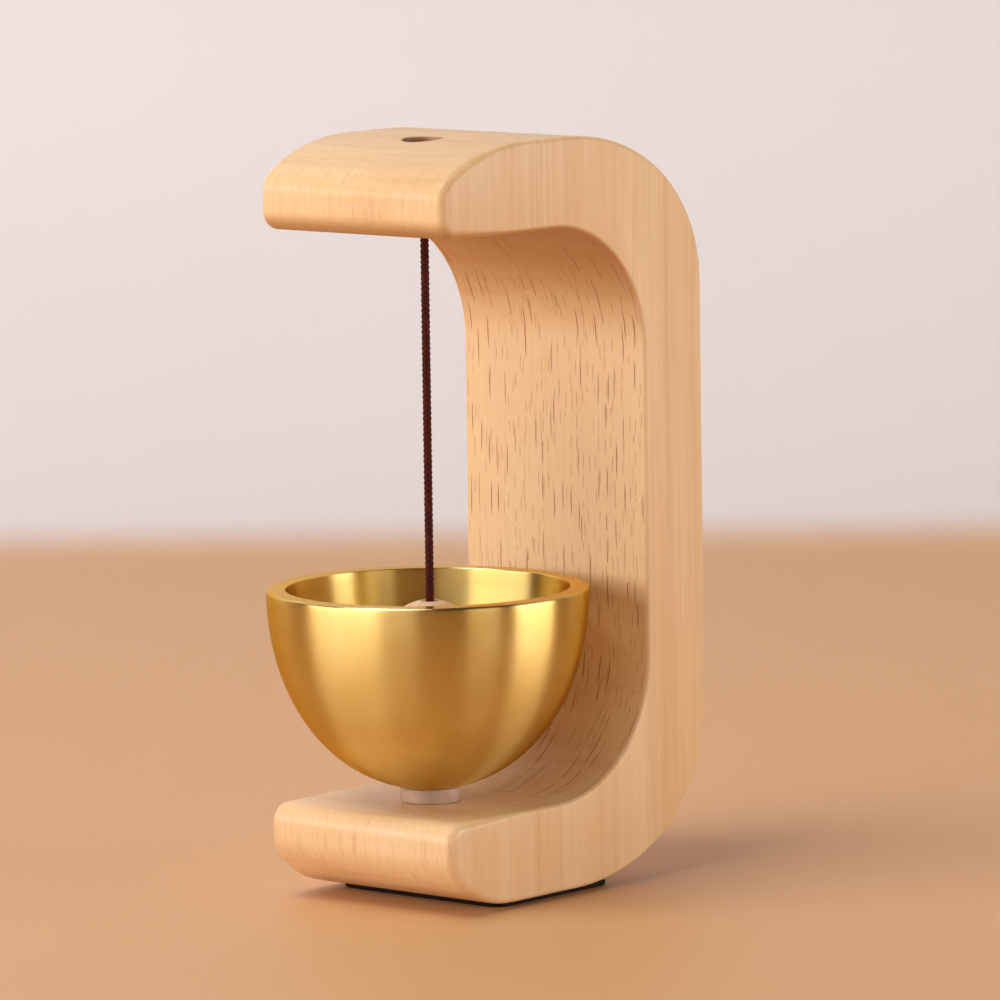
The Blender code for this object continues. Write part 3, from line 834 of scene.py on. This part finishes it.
def make_bowl(material):
    """The turned bowl, with a softened flat rim and a hole in its foot.

    Both curves start a few degrees under the rim, where the rim's rounds have ended.
    """
    outside_start = -2
    inside_start = -4
    depth = bowl_high.z - bowl_low.z
    inner_radius = BOWL_RADIUS - BOWL_WALL
    outside, foot_angle = bowl_curve(BOWL_RADIUS, BOWL_FOOT_RADIUS, depth)
    inside, floor_angle = bowl_curve(inner_radius, BOWL_FLOOR_RADIUS, depth - BOWL_FLOOR_THICKNESS)
    profile = arc((BOWL_RADIUS - RIM_OUTER_ROUND, depth - RIM_OUTER_ROUND),
                  (RIM_OUTER_ROUND, RIM_OUTER_ROUND), 90, 0, RIM_STEPS)
    profile += arc((0, depth), outside, outside_start, -foot_angle, BOWL_OUTSIDE_STEPS, BOWL_POWER)
    profile += [(BOWL_HOLE_RADIUS, 0), (BOWL_HOLE_RADIUS, BOWL_FLOOR_THICKNESS)]
    profile += arc((0, depth), inside, -floor_angle, inside_start, BOWL_INSIDE_STEPS, BOWL_POWER)
    profile += arc((inner_radius + RIM_INNER_ROUND, depth - RIM_INNER_ROUND),
                   (RIM_INNER_ROUND, RIM_INNER_ROUND), 180, 90, INNER_RIM_STEPS)
    foot = Vector((0, BELL_Y, bowl_low.z))
    mesh = turned_mesh("brass_bowl", without_repeats(profile), BOWL_STEPS, foot)
    piece = new_object("brass_bowl", mesh, material, smooth_degrees=40)
    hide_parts("bell_bowl")
    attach(piece, "bowl")


def washer_profile(outer, thickness, round_size):
    """A washer's cut side as (radius, height) points, rounded on its outer edges."""
    edge = (round_size, round_size)
    profile = arc((outer - round_size, thickness - round_size), edge, 90, 0, WASHER_EDGE_STEPS)
    profile += arc((outer - round_size, round_size), edge, 0, -90, WASHER_EDGE_STEPS)
    profile += [(WASHER_HOLE_RADIUS, 0), (WASHER_HOLE_RADIUS, thickness)]
    return without_repeats(profile)


def make_washers(material):
    """The soft foot between arm and bowl, and the ring between the bowl's floor and the screw."""
    lower = washer_profile(lower_washer_high.x, bowl_low.z - ARM_TOP_Z, LOWER_WASHER_ROUND)
    mesh = turned_mesh("silicone_foot", lower, WASHER_STEPS, Vector((0, BELL_Y, ARM_TOP_Z)))
    foot = new_object("silicone_foot", mesh, material, smooth_degrees=50)
    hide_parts("lower_washer")
    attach(foot, "frame")
    floor_z = bowl_low.z + BOWL_FLOOR_THICKNESS
    upper = washer_profile(upper_washer_high.x, upper_washer_high.z - floor_z, UPPER_WASHER_ROUND)
    mesh = turned_mesh("silicone_ring", upper, WASHER_STEPS, Vector((0, BELL_Y, floor_z)))
    ring = new_object("silicone_ring", mesh, material, smooth_degrees=50)
    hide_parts("upper_washer")
    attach(ring, "frame")


def make_screw(material):
    """The screw stays the CAD's own solid and only gets its metal."""
    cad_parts["bell_screw"].data.materials.clear()
    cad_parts["bell_screw"].data.materials.append(material)


def make_bead(material):
    """The turned bead with a softened bore at both ends."""
    soft = BEAD_EDGE_ROUND
    bore_angle = math.degrees(math.acos((BEAD_BORE_RADIUS + soft) / BEAD_RADIUS))
    profile = arc((0, 0), (BEAD_RADIUS, BEAD_RADIUS), bore_angle, -bore_angle, BEAD_SIDE_STEPS)
    half = BEAD_RADIUS * math.sin(math.radians(bore_angle))
    profile += arc((BEAD_BORE_RADIUS + soft, -half + soft), (soft, soft), -90, -180, BEAD_EDGE_STEPS)
    profile += arc((BEAD_BORE_RADIUS + soft, half - soft), (soft, soft), 180, 90, BEAD_EDGE_STEPS)
    centre = Vector((0, CORD_Y, BEAD_Z))
    mesh = turned_mesh("wooden_bead", without_repeats(profile), BEAD_STEPS, centre)
    piece = new_object("wooden_bead", mesh, material, smooth_degrees=40)
    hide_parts("striker_bead")
    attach(piece, "striker")


def knot_path(centre, radius, height):
    """The path of an overhand knot drawn tight: one round of a trefoil."""
    points = []
    steps = 60
    for i in range(steps):
        t = 2 * math.pi * i / steps
        x = math.sin(t) + 2 * math.sin(2 * t)
        y = math.cos(t) - 2 * math.cos(2 * t)
        z = -math.sin(3 * t)
        points.append(centre + Vector((x * radius / 3, y * radius / 3, z * height)))
    return points


def plumb_route(top, bottom, count):
    """A straight route of the cord down its hole's axis, with the given number of points."""
    return [Vector((0, CORD_Y, top + (bottom - top) * i / (count - 1))) for i in range(count)]


def make_knot(name, low, high, material):
    """A knot as large as its CAD solid, between the corners low and high."""
    cord_radius = CORD_DIAMETER / 2
    centre = Vector((0, CORD_Y, (low.z + high.z) / 2))
    size = (high.x - low.x) / 2 - cord_radius
    lift = (high.z - low.z) / 2 - cord_radius
    return braided_cord(name, knot_path(centre, size, lift), material)


def make_cords(material):
    """The hanging cord, its still end in the arm, and the knots at its two ends."""
    hang_top = PIVOT_Z
    hang_bottom = (bottom_knot_low.z + bottom_knot_high.z) / 2
    still_top = (top_knot_low.z + top_knot_high.z) / 2
    route = plumb_route(hang_top, hang_bottom, 24)
    hanging = braided_cord("hanging_cord", route, material)
    still = braided_cord("cord_in_hole", plumb_route(still_top, hang_top, 6), material)
    upper_knot = make_knot("upper_knot", top_knot_low, top_knot_high, material)
    lower_knot = make_knot("lower_knot", bottom_knot_low, bottom_knot_high, material)
    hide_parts("striker_cord")
    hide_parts("cord_in_arm", "cord_bend")
    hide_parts("top_knot")
    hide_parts("bottom_knot")
    for piece, body in ((hanging, "striker"), (still, "frame"),
                        (upper_knot, "frame"), (lower_knot, "striker")):
        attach(piece, body)


# ---------------------------------------------------------------- stage

def camera_axes():
    """The camera's right, up and back directions, before its roll."""
    azimuth = math.radians(CAMERA_AZIMUTH)
    elevation = math.radians(CAMERA_ELEVATION)
    back = Vector((math.sin(azimuth) * math.cos(elevation), -math.cos(azimuth) * math.cos(elevation),
                   math.sin(elevation)))
    right = Vector((math.cos(azimuth), math.sin(azimuth), 0))
    return right, back.cross(right), back


def make_camera():
    """The camera, aimed near the middle of the frame and rolled a little."""
    right, up, back = camera_axes()
    frame_middle_y = (wood_low.y + wood_high.y) / 2
    focus = Vector((0, frame_middle_y, CAMERA_FOCUS_HEIGHT)) + right * CAMERA_FOCUS_RIGHT
    roll = math.radians(CAMERA_ROLL)
    rolled_right = right * math.cos(roll) + up * math.sin(roll)
    rolled_up = up * math.cos(roll) - right * math.sin(roll)
    data = bpy.data.cameras.new("camera")
    data.lens = CAMERA_LENS
    data.clip_end = 20
    camera = bpy.data.objects.new("camera", data)
    bpy.context.scene.collection.objects.link(camera)
    rotation = Matrix((rolled_right, rolled_up, back)).transposed().to_4x4()
    camera.matrix_world = Matrix.Translation(focus + back * CAMERA_DISTANCE) @ rotation
    bpy.context.scene.camera = camera


def stage_material():
    """A warm table top that turns into a pale pinkish wall, clear when it is seen from behind."""
    table = rgb(212, 162, 112)
    wall = rgb(228, 222, 225)
    cloud_tone = rgb(214, 186, 158)
    nodes = Nodes("pale_backdrop")
    position = nodes.position()
    colour = nodes.mix(nodes.remap(nodes.axes(position)[2], 0.0, WALL_COLOUR_HEIGHT), table, wall)
    cloud = nodes.noise(position, (3, 3, 3))
    colour = nodes.mix(nodes.remap(cloud, 0.3, 0.7, 0.0, 0.06), colour, cloud_tone)
    clear = nodes.add("ShaderNodeBsdfTransparent")
    side = nodes.add("ShaderNodeMixShader")
    nodes.link(nodes.add("ShaderNodeNewGeometry").outputs["Backfacing"], side.inputs[0])
    nodes.link(nodes.shader.outputs[0], side.inputs[1])
    nodes.link(clear.outputs[0], side.inputs[2])
    nodes.link(side.outputs[0], nodes.tree.nodes["Material Output"].inputs["Surface"])
    return nodes.set(Base_Color=colour, Roughness=0.5)


def stage_profile():
    """The table top, the curve and the wall, as (distance from the middle, height) points."""
    bend = (WALL_DISTANCE - WALL_CURVE, WALL_CURVE)
    curve = arc(bend, (WALL_CURVE, WALL_CURVE), -90, 0, WALL_CURVE_STEPS)
    return [(FLOOR_FRONT, 0.0), *curve, (WALL_DISTANCE, WALL_HEIGHT)]


def make_stage():
    """A pale table top that curves up into a pale wall, which is clear when seen from behind."""
    right, _, back = camera_axes()
    away = -Vector((back.x, back.y, 0)).normalized()
    profile = stage_profile()
    work = bmesh.new()
    rows = []
    for side in (-STAGE_HALF_WIDTH, STAGE_HALF_WIDTH):
        rows.append([work.verts.new(away * run + right * side + Vector((0, 0, height)))
                     for run, height in profile])
    left_row, right_row = rows
    for j in range(len(profile) - 1):
        work.faces.new((left_row[j], right_row[j], right_row[j + 1], left_row[j + 1]))
    mesh = bpy.data.meshes.new("backdrop")
    work.to_mesh(mesh)
    work.free()
    floor = new_object("backdrop", mesh, stage_material(), smooth_degrees=60)


def area_light(name, azimuth, elevation, distance, size, power, colour):
    """A soft light aimed at the object; azimuth counts from the camera, positive to its right."""
    angle = math.radians(CAMERA_AZIMUTH + azimuth)
    tilt = math.radians(elevation)
    direction = Vector((math.sin(angle) * math.cos(tilt), -math.cos(angle) * math.cos(tilt),
                        math.sin(tilt)))
    data = bpy.data.lights.new(name, "AREA")
    data.shape = "RECTANGLE"
    data.size, data.size_y = size
    data.energy = power
    data.color = colour
    light = bpy.data.objects.new(name, data)
    light.location = Vector((0, 0, LIGHT_AIM_HEIGHT)) + direction * distance
    light.rotation_euler = direction.to_track_quat("Z", "Y").to_euler()
    bpy.context.scene.collection.objects.link(light)


def make_lights():
    """Wide daylight from the left and above, a lamp's light from the right, and a dim warm room."""
    daylight = (1.0, 0.97, 0.93)
    lamp = (1.0, 0.945, 0.88)
    area_light("window", -64, 15, 1.1, (1.20, 0.40), 7.0, daylight)
    area_light("left_wall", -48, 7, 1.2, (2.00, 0.36), 4.0, daylight)
    area_light("right_wall", 40, 7, 1.2, (0.50, 0.40), 1.3, lamp)
    area_light("right_panel", 82, 6, 1.0, (0.62, 0.40), 5.4, lamp)
    area_light("ceiling", -60, 66, 1.3, (0.8, 0.8), 10.5, daylight)
    world = bpy.data.worlds.new("room")
    world.use_nodes = True
    background = world.node_tree.nodes["Background"]
    background.inputs["Color"].default_value = (0.95, 0.86, 0.78, 1)
    background.inputs["Strength"].default_value = 0.05
    bpy.context.scene.world = world
    bpy.context.scene.view_settings.view_transform = "Standard"


make_camera()
make_cords(cord_material())
make_wood_frame(beech_material())
make_pad(pad_and_shadow_material())
make_bowl(brass_material())
make_washers(silicone_material())
make_screw(steel_material())
make_bead(bead_material())
make_stage()
make_lights()
